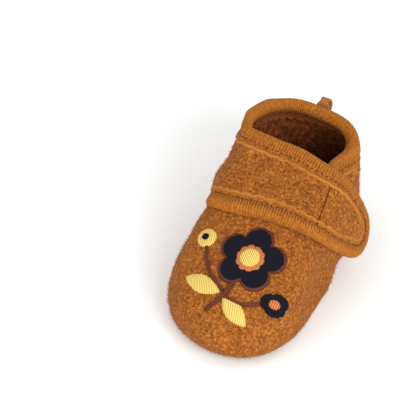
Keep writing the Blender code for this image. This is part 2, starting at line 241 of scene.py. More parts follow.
# Upper
# Vamp and quarters of boiled wool, one soft wall of about 2.7 mm that turns under at the sole.
# Fulling has matted the knit into small curls, so it is lumpy, mottled and fuzzy all over.
LUMP_SIZE, LUMP_DEPTH = 9 * MM, 0.6 * MM
CURL_SIZE, CURL_DEPTH = 1.7 * MM, 0.22 * MM
CREASE_FADE = 0.15
KEPT_FACES = 0.9
FOOT_LINE = np.array((-0.004, 0.0, 0.020))
FOOT_ENDS = (-0.036, 0.040)
INNER_SWELL = ((-31, 8, 46), (18, 24, 22), (-3.4, 0, 0.6))
TURN_SWELL = ((-28, 17, 57), (14, 18, 16), (-0.4, 0, 0))


def mark(piece, name, values):
    """Stores one number for each point, for the material to read."""
    store = piece.data.attributes.new(name, "FLOAT", "POINT")
    store.data.foreach_set("value", np.asarray(values, np.float32))


def press(piece, creases):
    """Presses a soft trough along each short line on a piece, deepest at the line's middle."""
    for start, end, width, depth in creases:
        places = coordinates(piece)
        start, run = np.array(start) * MM, (np.array(end) - np.array(start)) * MM
        share = np.clip((places - start) @ run / (run @ run), 0, 1)
        off = np.linalg.norm(places - start - share[:, None] * run, axis=1)
        pull = depth * MM * (1 - soften(off, 0, width * MM))
        pull *= np.sin(np.pi * (CREASE_FADE + (1 - 2 * CREASE_FADE) * share))
        move_points(piece, places - point_normals(piece) * pull[:, None])


def felted(piece):
    """Gives a wool piece its uneven lumps and its matted curls."""
    for name, size, depth in (("lumps", LUMP_SIZE, LUMP_DEPTH), ("curls", CURL_SIZE, CURL_DEPTH)):
        relief = bpy.data.textures.new(f"wool {name}", "CLOUDS")
        relief.noise_scale = size
        apply(piece, "DISPLACE", texture=relief, texture_coords="LOCAL", strength=depth, mid_level=0.5)


def form_of(piece):
    """The shape that a piece has now, to find places on."""
    return BVHTree.FromObject(piece, bpy.context.evaluated_depsgraph_get())


# Boiled wool: matted curls of light and dark ochre fibre, rough, with a pale bloom of fuzz.
# Inside the shoe it is painted darker, as shade, with paler tufts in that painted shade
wool = new_material("boiled wool", {"Roughness": 0.95, "Specular IOR Level": 0.2, "Sheen Weight": 0.15,
                                    "Sheen Roughness": 0.5, "Sheen Tint": linear("#E9A860")})
tree, place = canvas(wool)
# Size in millimetres, detail, roughness and distortion of each
flecks, specks, clouds, fibres, tufts = (
    node(tree, "TexNoise", {"Vector": place, "Scale": 1 / (size * MM), "Detail": detail, "Roughness": rough,
                            "Distortion": twist}).outputs["Fac"]
    for size, detail, rough, twist in ((1.25, 4.0, 0.65, 0.6), (0.85, 3.0, 0.6, 0.0), (7, 3.0, 0.5, 0.0),
                                       (0.4, 2.0, 0.5, 0.0), (2.6, 3.0, 0.5, 0.0)))
sunk = node(tree, "MapRange", {"Value": specks, "From Min": 0.32, "From Max": 0.52}).outputs[0]
lit = node(tree, "MapRange", {"Value": flecks, "From Min": 0.46, "From Max": 0.70}).outputs[0]
base = node(tree, "Mix", {0: sunk, 6: linear("#502304"), 7: linear("#8C4912")})
curled = node(tree, "Mix", {0: lit, 6: base.outputs[2], 7: linear("#C07A32")})
cast = node(tree, "MapRange", {"Value": clouds, "From Min": 0.3, "From Max": 0.7, "To Min": 0.86,
                               "To Max": 1.13}).outputs[0]
shaded = node(tree, "Mix", {0: 1.0, 6: curled.outputs[2], 7: cast}, blend_type="MULTIPLY")
# Painted shade inside the shoe: the colour is multiplied darker where the mesh is marked inside
within = node(tree, "Attribute", attribute_name="inside").outputs["Fac"]
raised = node(tree, "MapRange", {"Value": tufts, "From Min": 0.36, "From Max": 0.66}).outputs[0]
inner_shade = node(tree, "Mix", {0: raised, 6: linear("#6E5646"), 7: linear("#D0AC92")})
shaded_inside = node(tree, "Mix", {0: within, 6: shaded.outputs[2], 7: inner_shade.outputs[2]}, blend_type="MULTIPLY")
matted = node(tree, "Bump", {"Height": flecks, "Strength": 0.5, "Distance": 0.6 * MM})
fuzzed = node(tree, "Bump", {"Height": fibres, "Strength": 0.5, "Distance": 0.25 * MM,
                             "Normal": matted.outputs["Normal"]})
show(tree, shaded_inside, fuzzed)

upper = cut_from("upper", "wool_upper")
settle(upper, [
    ((20, 12, 45), (20, 32, 26), (-8, -1, 6)),  # outer collar, drawn in under the strap
    ((24, 42, 42), (14, 20, 22), (2, 0, 0)),  # outer quarter, fuller
    ((32, -14, 16), (20, 28, 20), (-5.2, 0, 0)),  # outer forepart, slimmer
    WAIST,
    ((-14, -61, 5), (16, 14, 16), (0.6, 1.6, 0)),  # inner toe, rounder
    ((-28, -18, 36), (12, 14, 14), (-1.3, 0, 0)),  # inner side before the strap, fuller
    ((-15, 56, 53), (14, 14, 14), (0, 0, 1.3)),  # heel edge, higher on the inner side
    ((15, 50, 48), (14, 16, 12), (1, 0.6, 0)),  # heel edge, wider on the outer side
    ((21, 42, 28), (14, 18, 12), (-1.3, -0.5, 0)),  # outer heel wall, hollower
    ((-30, -42, 16), (16, 26, 24), (-1.4, 0, 0)),  # inner forepart, fuller
    INNER_SWELL,
    TURN_SWELL,
    ((-24, 42, 58), (22, 30, 24), (-2, 1, 0.6)),  # inner collar, standing open
    ((-14, 54, 53), (26, 22, 20), (0, -0.3, -1.4)),  # heel edge, sagging
    ((27, 30, 34), (10, 30, 20), (1.2, 0, 0)),  # outer quarter behind the tab, fuller
    ((23, 0, 34), (16, 16, 18), (3.2, 0, 1.8)),  # wall under the tab, filled out
    ((22, -2, 44), (12, 11, 12), (1.4, 0, 1.4)),
    ((31, 6, 25), (14, 16, 12), (4, 0, 0)),
    ((28, 8, 19), (12, 14, 9), (2.4, 0, 0)),
    ((15, 34, 48), (10, 18, 9), (-3.6, 0, 0.6)),  # outer collar's edge, leaning in
    ((23, 32, 38), (10, 18, 10), (1, 0, 0)),  # the wall below it, kept full
    ((21, 43, 46), (10, 14, 10), (1, 0, 0)),  # outer collar's edge towards the heel
])
upper_form = form_of(upper)
upper_rims = upper.data.copy()
apply(upper, "SUBSURF", levels=2)
# Start, end, width and depth of each crease, in millimetres
press(upper, [
    ((24, 16, 46), (29, 30, 16), 8, 0.8),  # outer quarter
    ((-29, 24, 48), (-31, 36, 18), 8, 0.7),  # inner quarter
    ((-30, -20, 30), (-24, -40, 27), 9, 0.6),  # toe bend, inner side
    ((27, -22, 30), (22, -42, 26), 9, 0.6),  # toe bend, outer side
    ((-5, 64, 46), (-4, 66, 5), 2.2, 0.7),  # seam down the heel
])
upper_skin = form_of(upper)
apply(upper, "SUBSURF", levels=1)
felted(upper)
apply(upper, "DECIMATE", ratio=KEPT_FACES)
# Points that face into the shoe are marked inside, for the painted shade there
places = coordinates(upper)
foot_points = FOOT_LINE + np.outer(np.clip(places[:, 1], *FOOT_ENDS), (0, 1, 0))
mark(upper, "inside", np.sum((places - foot_points) * point_normals(upper), axis=1) < 0)
finish(upper, wool, "upper_wool", "upper")

# Instep strap
# Boiled wool, cut in one with the inner quarter, laid over the instep and closed outside by a
# hook-and-loop tab. Where it grows out of the quarter it has no edge of its own.
# Angles round the strap's axis are in degrees from upright, positive towards the outer side
STRAP_AXIS = Vector((-0.00265, 0.0, 0.020))
STRAP_REACH = 0.08
STRAP_SEARCH = 0.04
RIM_HALVINGS = 14
STRAP_ROOT, TAB_ANGLE, ANGLE_STEP = -114, 60, 3
STRAP_MIDDLE = -0.0044
STRAP_SINK, SINK_ANGLES = 1.3 * MM, (35, 65)
QUARTER_SINK, QUARTER_ANGLES, QUARTER_ACROSS = 3.0 * MM, (24, 37), (0.3, 0.75)


def unit(arrows):
    """Vectors of length one."""
    return arrows / np.linalg.norm(arrows, axis=-1, keepdims=True)


def strap_hit(form, angle, y, outer=True):
    """The place and normal where a spoke from the strap's axis meets its outer or inner face."""
    out = Vector((math.sin(math.radians(angle)), 0, math.cos(math.radians(angle))))
    root = Vector((STRAP_AXIS.x, y, STRAP_AXIS.z))
    if outer:
        return form.ray_cast(root + out * STRAP_REACH, -out, STRAP_REACH)[:2]
    return form.ray_cast(root, out, STRAP_REACH)[:2]


def strap_rim(angle, y, turn, run):
    """The last place on the strap from a start inside it, going some degrees and metres at a time."""
    inside, outside = 0.0, 1.0
    for _ in range(RIM_HALVINGS):
        half = (inside + outside) / 2
        if strap_hit(strap_form, angle + turn * half, y + run * half)[0] is None:
            outside = half
        else:
            inside = half
    return angle + turn * inside, y + run * inside


strap = cut_from("instep_strap", "wool_strap")
settle(strap, [
    ((34, 14, 26), (18, 24, 26), (2.2, 1.4, 0.3)),  # tab, further out and back
    ((-31, -11, 39), (10, 10, 12), (1.2, -0.6, 0)),  # front edge on the inner side, lying closer
    ((0, 12, 60), (28, 13, 14), (0, 1.8, 0.6)),  # rear edge over the instep, further back
    INNER_SWELL,
    TURN_SWELL,
])
strap_form = form_of(strap)
strap_ends = {}
for angles in (range(0, TAB_ANGLE + 1, ANGLE_STEP), range(-ANGLE_STEP, STRAP_ROOT - 1, -ANGLE_STEP)):
    start = STRAP_MIDDLE
    for angle in angles:
        ends = [strap_rim(angle, start, 0, run)[1] for run in (-STRAP_SEARCH, STRAP_SEARCH)]
        strap_ends[angle] = (*ends, start)
        start = sum(ends) / 2
bends = np.array(sorted(strap_ends))
fronts, rears, starts = np.array([strap_ends[angle] for angle in bends]).T
# The strap grows out of the inner quarter: past the turn it sinks into it, most along the rear
places = coordinates(strap)
spread = np.degrees(np.arctan2(places[:, 0] - STRAP_AXIS.x, places[:, 2] - STRAP_AXIS.z))
front, rear = np.interp(spread, bends, fronts), np.interp(spread, bends, rears)
sink = STRAP_SINK * soften(-spread, *SINK_ANGLES)
sink += (QUARTER_SINK * soften(-spread, *QUARTER_ANGLES)
         * soften((places[:, 1] - front) / (rear - front), *QUARTER_ACROSS))
outward = unit((places - np.array(STRAP_AXIS)) * (1, 0, 1))
move_points(strap, places - outward * sink[:, None])
strap_form = form_of(strap)
strap_low = strap.data.copy()
apply(strap, "SUBSURF", levels=2)
# The seam across the tab
press(strap, [
    ((19.6, 7.5, 52.6), (21.0, -3.0, 48.9), 1.7, 1.2),
    ((21.0, -3.0, 48.9), (21.5, -14.0, 44.5), 1.7, 1.2),
])
apply(strap, "SUBSURF", levels=1)
felted(strap)
mark(strap, "inside", np.zeros(len(strap.data.vertices)))
finish(strap, wool, "strap_wool", "instep_strap")

# Rib tape
# One rib-knit tape, folded over the edge of the wool and sewn through by a row of small stitches.
# Behind them its overlocked edge stands up as a wavy lip. It starts under the strap, runs round the
# collar, turns along the strap's rear edge, goes round the tab and back along the front to the sole.
# Ribs and stitches are drawn a little further apart than on the shoe, so that they show
RIB_PITCH = 1.22 * MM
RIB_ROWS = 8
RIB_DEPTH, RIB_ROUND = 0.4 * MM, 0.7
STITCH_LINE, STITCH_PITCH, STITCH_SHARPNESS = 3.8 * MM, 2.1 * MM, 8
PIERCE_DEPTH, PIERCE_WIDTH = 0.35 * MM, 0.5 * MM
WAVE_PITCH, WAVE_DEPTH, WAVE_ROUND = 4.9 * MM, 0.42 * MM, 0.8
# The lip's waves run unevenly: length, share and start of each wander
WANDERS = ((13.0 * MM, 0.5, 0.0), (4.7 * MM, 0.3, 1.0))
LIP_LIFT, REAR_CALM, TAB_CALM = 0.22, 0.2, 0.6
INNER_FULLNESS, INNER_LIP = 0.5, 0.6
# Distance from the edge, height above the wool, both in millimetres, from the outer lip to the edge
TAPE_FACE = [(7.0, -0.35), (6.85, 0.25), (6.5, 0.6), (6.1, 0.62), (5.8, 0.35), (5.4, 0.15), (4.8, 0.1),
             (4.2, 0.0), (3.7, 0.0), (3.4, 0.45), (3.1, 0.85), (2.65, 1.05), (2.05, 1.15), (1.35, 1.2),
             (0.65, 1.2)]
TAPE_BACK = [(5.0, -0.35), (1.0, -0.35)]
# Where across the tape a change begins and ends, in millimetres from the edge
BAND_END, LIP_START, RIB_SHADE_RISE, SHADED = (2.8, 3.5), (4.0, 6.1), (0.8, 2.8), (0.5, 5.0)
SUNK, PALE = (3.1, 3.8, 5.1, 6.1), (5.5, 6.1, 6.7, 7.0)
# How dark the painted shade is in a rib's valley near the edge, what it gains further in, and how dark the
# painted shade of the seam, its gathers and a stitch hole is
EDGE_RIB_SHADE, DEEP_SHADE, SEAM_SHADE, GATHER_SHADE, PIERCE_SHADE = 0.35, 0.5, 0.2, 0.6, 0.7
# How much more painted shade the rib valleys get along the front
FRONT_CONTRAST = 0.4
# How bright the painted highlight on the lip's crest is, how much that varies and over what length, and how
# much less on the tab
LIP_PALE, LIP_VARIES, LIP_LENGTH, TAB_PALE_LOSS = 0.65, 0.25, 6.1 * MM, 0.8
FOLD_ANGLES = (20, 55, 90, 125, 160)
FOLD_THICKNESS, FOLD_RISE, FOLD_RIB = 1.15 * MM, 2.1 * MM, 0.25 * MM
CLOTH_STRIDE = 0.75 * MM
CLOTH_STEPS = np.array([0.0, 3.0, 6.0, 9.75]) * MM
# A normal that leans further than these cosines belongs to another face, or to other cloth
SAME_FACE, SAME_CLOTH = 0.5, 0.3
# The collar's edges are lines of the wool that are sharper, longer and higher than this
RIM_ANGLE, RIM_POINTS, RIM_HEIGHT = math.radians(50), 20, 0.035
# Degrees round the mouth where the tape starts and turns, and round the strap where that turn ends
MOUTH_CENTRE = np.array((-0.0035, 0.031))
TAPE_FROM, TAPE_TURN, STRAP_TURN = -45, 206, -23
STRAP_RADIUS, STRAP_FLANGE = 0.036, 0.3
TAB_TURN, TAB_BENDS = 64, np.arange(75, -76, -7.5)
EDGE_STEPS = (2.6 * MM, 4.0 * MM)
TURN_STOPS, TURN_REACH = 5, 12 * MM
ROOT_STOPS, ROOT_SIDE = (0.0052, 0.0036, 0.0022), -0.06
TAPE_SMOOTHING = 2
COLLAR_WITHIN, COLLAR_PAST = 12 * MM, 4 * MM
TAB_BEFORE, TAB_WITHIN = 8 * MM, 4 * MM
START_THINNESS, START_LENGTH = 0.3, 7 * MM
END_TUCK, END_LENGTH = 1.2 * MM, 3 * MM
# Slimmer past the tab, as measured from its end, and flatter on the inner side, from the tape's end
SLIMMING, SLIM_STRETCH = 0.2, np.array((-12, 0, 14, 34)) * MM
FLATNESS, FLAT_STRETCH = 0.4, np.array((22, 32, 42, 54)) * MM


def between(x, start, full, fading, end):
    """1 from full to fading, 0 before start and after end, and soft where it changes."""
    return soften(x, start, full) * (1 - soften(x, fading, end))


def through(knots, values, at):
    """Smooth values at places between knots, on a cubic through all of them."""
    slopes = np.gradient(values, knots, axis=0)
    i = np.clip(np.searchsorted(knots, at, side="right") - 1, 0, len(knots) - 2)
    gap = (knots[i + 1] - knots[i])[:, None]
    t = (at - knots[i])[:, None] / gap
    start, end = values[i] + slopes[i] * gap * t, values[i + 1] - slopes[i + 1] * gap * (1 - t)
    rise = t * t * (3 - 2 * t)
    return start * (1 - rise) + end * rise


def lengths_along(line):
    """How far each point of a line lies from its start."""
    return np.concatenate([[0], np.cumsum(np.linalg.norm(np.diff(line, axis=0), axis=1))])


def mouth_rims(mesh):
    """The outer and inner lines of the collar's edge as arrays of points."""
    skin = bmesh.new()
    skin.from_mesh(mesh)
    sharp = [edge for edge in skin.edges if edge.calc_face_angle() > RIM_ANGLE]
    seen, lines = set(), []
    for first in sharp:
        line, edge = [first.verts[0]], first
        while edge is not None and edge not in seen:
            seen.add(edge)
            line.append(edge.other_vert(line[-1]))
            edge = next((e for e in line[-1].link_edges if e in sharp and e not in seen), None)
        lines.append(np.array([point.co for point in line[1:]]))
    skin.free()
    lines = [line for line in lines if len(line) > RIM_POINTS and line[:, 2].min() > RIM_HEIGHT]
    return sorted(lines, key=lambda line: -np.ptp(line[:, 0]))


def strap_edge(angle, y, turn, run):
    """The strap's outer and inner edge and the slope from it, seen in one direction from inside."""
    angle, y = strap_rim(angle, y, turn, run)
    length = math.hypot(math.radians(turn) * STRAP_RADIUS, run)
    faces, slope = [], None
    for outer in (True, False):
        near, far = (np.array(strap_hit(strap_form, angle - turn * step / length, y - run * step / length,
                                        outer)[0]) for step in EDGE_STEPS)
        faces.append(near + (near - far))
        slope = far - near if slope is None else slope
    return (*faces, slope)


def on_cloth(form, edge, down, ahead, side):
    """Points and normals of one face of the cloth at the tape's steps from its edge."""
    face = Vector(down).cross(Vector(ahead)) * side
    spot, normal = form.find_nearest(Vector(edge + down * CLOTH_STRIDE))[:2]
    spots, normals = [edge], [face]
    for stride in range(2, int(CLOTH_STEPS[-1] / CLOTH_STRIDE) + 1):
        if normal.dot(face) < SAME_FACE:
            normal = face
        onward = Vector(ahead).cross(normal).normalized() * side
        spot, normal = form.find_nearest(spot + onward * CLOTH_STRIDE)[:2]
        if any(abs(stride * CLOTH_STRIDE - step) < CLOTH_STRIDE / 4 for step in CLOTH_STEPS):
            spots.append(spot)
            normals.append(normal)
    return np.array(spots), np.array(normals)


def over_cloth(form, edge, down, ahead, side):
    """Points and normals at the tape's steps on whatever cloth lies uppermost."""
    face = Vector(down).cross(Vector(ahead)).normalized() * side
    spots, normals = [edge], [face]
    for step in CLOTH_STEPS[1:]:
        flat = Vector(edge + down * step)
        spot, normal = form.ray_cast(flat + face * TURN_REACH, -face, 2 * TURN_REACH)[:2]
        spots.append(flat if spot is None else spot)
        normals.append(face if spot is None or normal.dot(face) < SAME_CLOTH else normal)
    return np.array(spots), np.array(normals)


# The edge of the wool along the tape's route, outer and inner side by side
outer_rim, inner_rim = mouth_rims(upper_rims)
bearing = np.degrees(np.arctan2(*(outer_rim[:, :2] - MOUTH_CENTRE).T[::-1]))
bearing = (bearing + 90) % 360 - 90
route = []
for i in np.argsort(bearing):
    if TAPE_FROM < bearing[i] < TAPE_TURN:
        nearest = np.argmin(np.linalg.norm(inner_rim - outer_rim[i], axis=1))
        route.append((upper_form, outer_rim[i], inner_rim[nearest], np.array((0.0, 0.0, -1.0))))
turn_from = len(route)
rear_edge = [(strap_form, *strap_edge(angle, start, 0, STRAP_SEARCH))
             for angle, start in zip(bends, starts) if angle > STRAP_TURN]
# Between the two it bends softly over the place where the strap grows out of the quarter
corners, shapes = [], []
for mesh in (upper_rims, strap_low):
    shapes += [[k + len(corners) for k in face.vertices] for face in mesh.polygons]
    corners += [point.co.copy() for point in mesh.vertices]
turn_form = BVHTree.FromPolygons(corners, shapes)
beside = np.array([np.concatenate(stop[1:]) for stop in route[-3:] + rear_edge[:3]])
beside[:, 6:] = unit(beside[:, 6:])
knots = lengths_along(beside[:, :3])
for bend in through(knots, beside, np.linspace(knots[2], knots[3], TURN_STOPS + 2)[1:-1]):
    route.append((turn_form, bend[:3], bend[3:6], bend[6:]))
route += rear_edge
tab_from = len(route)
for bend in np.radians(TAB_BENDS):
    route.append((strap_form, *strap_edge(TAB_ANGLE, starts[-1], math.cos(bend) * TAB_TURN,
                                          math.sin(bend) * STRAP_SEARCH)))
tab_to = len(route) - 1
for angle, start in zip(bends[::-1], starts[::-1]):
    route.append((strap_form, *strap_edge(angle, start, 0, -STRAP_SEARCH)))
# Below the strap's root it runs on down the wall to the sole
run_on = unit(route[-1][1] - route[-4][1])
for z in ROOT_STOPS:
    _, outer_end, inner_end, slope = route[-1]
    y = (outer_end + run_on * (outer_end[2] - z) / -run_on[2])[1]
    wall = np.array(upper_form.ray_cast(Vector((ROOT_SIDE, y, z)), Vector((1, 0, 0)))[0])
    route.append((upper_form, wall, wall + (inner_end - outer_end), slope))

# Frames along the route: cloth points and normals on both faces at each step from the edge
outer_edge, inner_edge = (np.array([stop[k] for stop in route]) for k in (1, 2))
middle_line = (outer_edge + inner_edge) / 2
way = lengths_along(middle_line)
ahead = unit(np.gradient(middle_line, way, axis=0))
down = np.cross(ahead, unit(np.cross([stop[3] for stop in route], ahead)))
stops = []
for stop, below, onward in zip(route, down, ahead):
    lay = over_cloth if stop[0] is turn_form else on_cloth
    faces = [lay(stop[0], stop[k], below, onward, side) for k, side in ((1, 1), (2, -1))]
    stops.append(np.concatenate([faces[0][0], faces[1][0], faces[0][1], faces[1][1], below[None]]).ravel())
stops = np.array(stops)
for _ in range(TAPE_SMOOTHING):
    stops[1:-1] = (stops[:-2] + 2 * stops[1:-1] + stops[2:]) / 4
rows = int(way[-1] / RIB_PITCH) * RIB_ROWS
along = np.arange(rows) * RIB_PITCH / RIB_ROWS
frames = through(way, stops, along).reshape(rows, -1, 3)
step_count = len(CLOTH_STEPS)
outer_spots, inner_spots, outer_leans, inner_leans = np.split(frames[:, :-1], 4, axis=1)
cloth = {+1: outer_spots, -1: inner_spots}
lean = {+1: unit(outer_leans), -1: unit(inner_leans)}
drop = unit(frames[:, -1])

# How the tape changes along its way, by the stretches that it passes
turn_at, tab_start, tab_end = way[turn_from], way[tab_from], way[tab_to]
left = along[-1] - along
on_collar = 1 - soften(along, turn_at - COLLAR_WITHIN, turn_at + COLLAR_PAST)
on_front = soften(along, tab_start, tab_end)
on_tab = between(along, tab_start - TAB_BEFORE, tab_start + TAB_WITHIN, tab_end - TAB_WITHIN,
                 tab_end + TAB_BEFORE)
slim = 1 - SLIMMING * between(along - tab_end, *SLIM_STRETCH)
starting = START_THINNESS + (1 - START_THINNESS) * soften(along, 0, START_LENGTH)
thinned = starting * (1 - FLATNESS * between(left, *FLAT_STRETCH))
tucked = END_TUCK * (1 - soften(left, 0, END_LENGTH))
flange = on_collar + (1 - on_collar) * STRAP_FLANGE


def laid(side, far, high):
    """Places at a distance from the edge, on one face of the cloth and some height above it."""
    far = np.broadcast_to(far, (rows,))
    i = np.clip(np.searchsorted(CLOTH_STEPS, far) - 1, 0, step_count - 2)
    t = ((far - CLOTH_STEPS[i]) / np.diff(CLOTH_STEPS)[i])[:, None]
    k = np.arange(rows)
    spot = cloth[side][k, i] * (1 - t) + cloth[side][k, i + 1] * t
    facing = unit(lean[side][k, i] * (1 - t) + lean[side][k, i + 1] * t)
    return spot + facing * (high - tucked * side)[:, None]


def add_line(places, valley=0.0, lip=0.0, inside=0.0):
    """Adds one lengthwise line of the tape, with what its material reads there."""
    lines.append((places, *(np.broadcast_to(value, (rows,)) for value in (valley, lip, inside))))


# Ribs stand square to the edge, with narrow valleys; the lip waves behind the row of stitches
swell = np.abs(np.sin(np.pi * along / RIB_PITCH))
dip = 1 - swell ** RIB_ROUND
furrow = 1 - swell
stitch = np.cos(np.pi * along / STITCH_PITCH) ** STITCH_SHARPNESS
wander = sum(share * np.sin(along / length + start) for length, share, start in WANDERS)
wave = 2 * np.abs(np.sin(np.pi * along / WAVE_PITCH + wander)) ** WAVE_ROUND - 1
gather = (0.5 - 0.5 * wave) ** 2
# Painted highlight on the lip's crest, uneven along the tape and weaker on the tab
lip_highlight = (LIP_PALE + LIP_VARIES * np.sin(along / LIP_LENGTH)) * (1 - TAB_PALE_LOSS * on_tab)
lines = []
for side in (+1, -1):
    for far, high in TAPE_FACE[::side]:
        band, lip = 1 - soften(far, *BAND_END), soften(far, *LIP_START)
        pierced = stitch * max(0.0, 1 - abs(far * MM - STITCH_LINE) / PIERCE_WIDTH)
        height = high * MM - band * RIB_DEPTH * dip - pierced * PIERCE_DEPTH
        height = height * (1 + LIP_LIFT * lip * wave) * (1 - TAB_CALM * lip * on_tab) * thinned
        waves = lip * WAVE_DEPTH * wave
        reach = far * MM * slim + waves * (1 - REAR_CALM * (1 - on_front)) * (1 - TAB_CALM * on_tab)
        if side < 0:
            reach = reach * flange + on_collar * waves
            height = height * flange * (1 - (1 - INNER_LIP) * lip) * (1 + INNER_FULLNESS * on_collar * band)
        # Painted shade: dark in the rib valleys, more so away from the fold, in the sunk seam, its gathers
        # and the stitch holes
        ribs = (EDGE_RIB_SHADE + DEEP_SHADE * soften(far, *RIB_SHADE_RISE)) * band * furrow
        ribs = ribs * (1 + FRONT_CONTRAST * on_front)
        seam = (SEAM_SHADE + GATHER_SHADE * gather) * between(far, *SUNK)
        # Inside the collar the tape's inner face is marked for painted shade inside
        add_line(laid(side, reach, height), np.clip(ribs + seam + PIERCE_SHADE * pierced, 0, 1),
                 between(far, *PALE) * lip_highlight, on_collar * soften(far, *SHADED) if side < 0 else 0.0)
    if side > 0:
        core = (cloth[+1][:, 0] + cloth[-1][:, 0]) / 2
        half = (laid(+1, 0, np.zeros(rows)) - laid(-1, 0, np.zeros(rows))) / 2
        girth = np.linalg.norm(half, axis=1) + (FOLD_THICKNESS - FOLD_RIB * dip) * starting
        rise = (FOLD_RISE - FOLD_RIB * dip) * starting
        # The fold's rib valleys get painted shade too
        for bend in np.radians(FOLD_ANGLES):
            over = unit(half) * girth[:, None] * math.cos(bend) - drop * rise[:, None] * math.sin(bend)
            add_line(core + over, EDGE_RIB_SHADE * furrow)
for side in (-1, +1):
    for far, high in TAPE_BACK[::-side]:
        add_line(laid(side, far * MM * (1 if side > 0 else flange), np.full(rows, high * MM)))
lines.append(lines[0])
places, *marks = (np.stack(series, axis=1) for series in zip(*lines))

bpy.ops.mesh.primitive_grid_add(x_subdivisions=len(lines) - 1, y_subdivisions=rows - 1)
tape = bpy.context.object
tape.name = "rib_tape"
move_points(tape, places)
for name, values in zip(("valley", "lip", "inside"), marks):
    mark(tape, name, values.ravel())
work(tape, (bpy.ops.mesh.remove_doubles, {"threshold": MERGE}), (bpy.ops.mesh.fill_holes, {"sides": 0}),
     (bpy.ops.mesh.normals_make_consistent, {"inside": False}))

# Rib knit: yellower and a little brighter than the wool, with painted shade nearly black-brown down between
# the ribs
rib_knit = new_material("rib knit", {"Roughness": 0.9, "Specular IOR Level": 0.25, "Sheen Weight": 0.2,
                                     "Sheen Tint": linear("#E9B27A")})
tree, place = canvas(rib_knit)
flecks = node(tree, "TexNoise", {"Vector": place, "Scale": 1 / (1.2 * MM), "Detail": 3.0}).outputs["Fac"]
yarn = node(tree, "TexNoise", {"Vector": place, "Scale": 1 / (0.35 * MM), "Detail": 2.0}).outputs["Fac"]
lit = node(tree, "MapRange", {"Value": flecks, "From Min": 0.3, "From Max": 0.7})
tone = node(tree, "Mix", {0: lit.outputs[0], 6: linear("#8C4A0A"), 7: linear("#B86E1C")})
# Painted highlight on the lip's crest, from the lip mark
at_lip = node(tree, "Attribute", attribute_name="lip").outputs["Fac"]
lip_lit = node(tree, "Mix", {0: at_lip, 6: tone.outputs[2], 7: linear("#B27326")})
# Painted shade in the rib valleys, the seam and the stitch holes, from the valley mark
valley = node(tree, "Attribute", attribute_name="valley").outputs["Fac"]
ribbed = node(tree, "Mix", {0: valley, 6: lip_lit.outputs[2], 7: linear("#4A220A")})
# Painted shade on the tape's inner face inside the collar, from the inside mark
within = node(tree, "Attribute", attribute_name="inside").outputs["Fac"]
shaded_inside = node(tree, "Mix", {0: within, 6: ribbed.outputs[2], 7: linear("#A88C80")}, blend_type="MULTIPLY")
knit_loops = node(tree, "Bump", {"Height": yarn, "Strength": 0.5, "Distance": 0.2 * MM})
show(tree, shaded_inside, knit_loops)
finish(tape, rib_knit, "strap_rib", "collar_binding", "strap_binding")

# Pull loop
# A short woven tape, folded double and caught in the binding at the heel. Its fold stands up round.
LOOP_ROUND, LOOP_SEGMENTS, LOOP_ANGLE = 0.7 * MM, 2, 50

# Woven tape: close ribs along the tape, a little brighter than the wool, with a dry dull gloss
woven = new_material("woven tape", {"Roughness": 0.8})
tree, place = canvas(woven)
cords = node(tree, "TexWave", {"Vector": place, "Scale": 1 / (2.4 * MM), "Distortion": 0.6, "Detail": 1.0},
             wave_type="BANDS", bands_direction="X").outputs["Fac"]
flecks = node(tree, "TexNoise", {"Vector": place, "Scale": 1 / (0.9 * MM), "Detail": 3.0}).outputs["Fac"]
tone = node(tree, "Mix", {0: flecks, 6: linear("#8E521A"), 7: linear("#B8772E")})
corded = node(tree, "Mix", {0: cords, 6: linear("#965A20"), 7: tone.outputs[2]})
weave = node(tree, "Bump", {"Height": cords, "Strength": 0.6, "Distance": 0.2 * MM})
show(tree, corded, weave)

loop = cut_from("pull_loop", "pull_loop_tape")
settle(loop, [
    ((-7, 64, 54), (8, 8, 8), (-0.6, 0, -1.6)),  # fold, lower
    ((-7, 62, 41), (10, 9, 11), (0, -2.4, 0)),  # ends, drawn in under the binding
    ((-7, 62, 40), (10, 9, 8), (0, 0, 2.8)),
    ((-12, 61, 43), (6, 9, 8), (0, -1.5, 0)),
    ((-11, 63, 53), (4, 7, 4), (1.5, 0, -0.5)),  # fold's corners, rounder
    ((-5, 63, 53), (4, 7, 4), (-1.2, 0, -0.5)),
    ((-7.5, 64, 53), (4, 7, 4), (0, 0, 0.8)),
    ((-11, 62, 49), (5, 7, 4), (-1, 0, 0)),  # inner edge, wider
])
apply(loop, "SUBSURF", levels=1, subdivision_type="SIMPLE")
round_edges(loop, LOOP_ROUND, LOOP_SEGMENTS, LOOP_ANGLE)
apply(loop, "SUBSURF", levels=2)
finish(loop, woven, "loop_tape", "pull_loop")

# Tab stitching
# The row that sews the hook-and-loop patch under the tab: thread sunk across the strap, as dark as the
# painted shade of its holes.
THREAD_WIDTH, THREAD_LENGTH = 0.65 * MM, 3.0 * MM
STITCH_COUNT = 8
# Angle round the strap's axis, in degrees, and distance along the shoe of the row's two ends
STITCH_FROM, STITCH_TO = np.array((35.3, 0.0055)), np.array((45.3, -0.0155))


def bead(length, width, segments, rings):
    """The shape of one stitch, long in X."""
    bpy.ops.mesh.primitive_uv_sphere_add(segments=segments, ring_count=rings, radius=0.5)
    shape = bpy.context.object
    shape.scale = (length, width, width)
    bpy.ops.object.transform_apply(scale=True)
    return shape


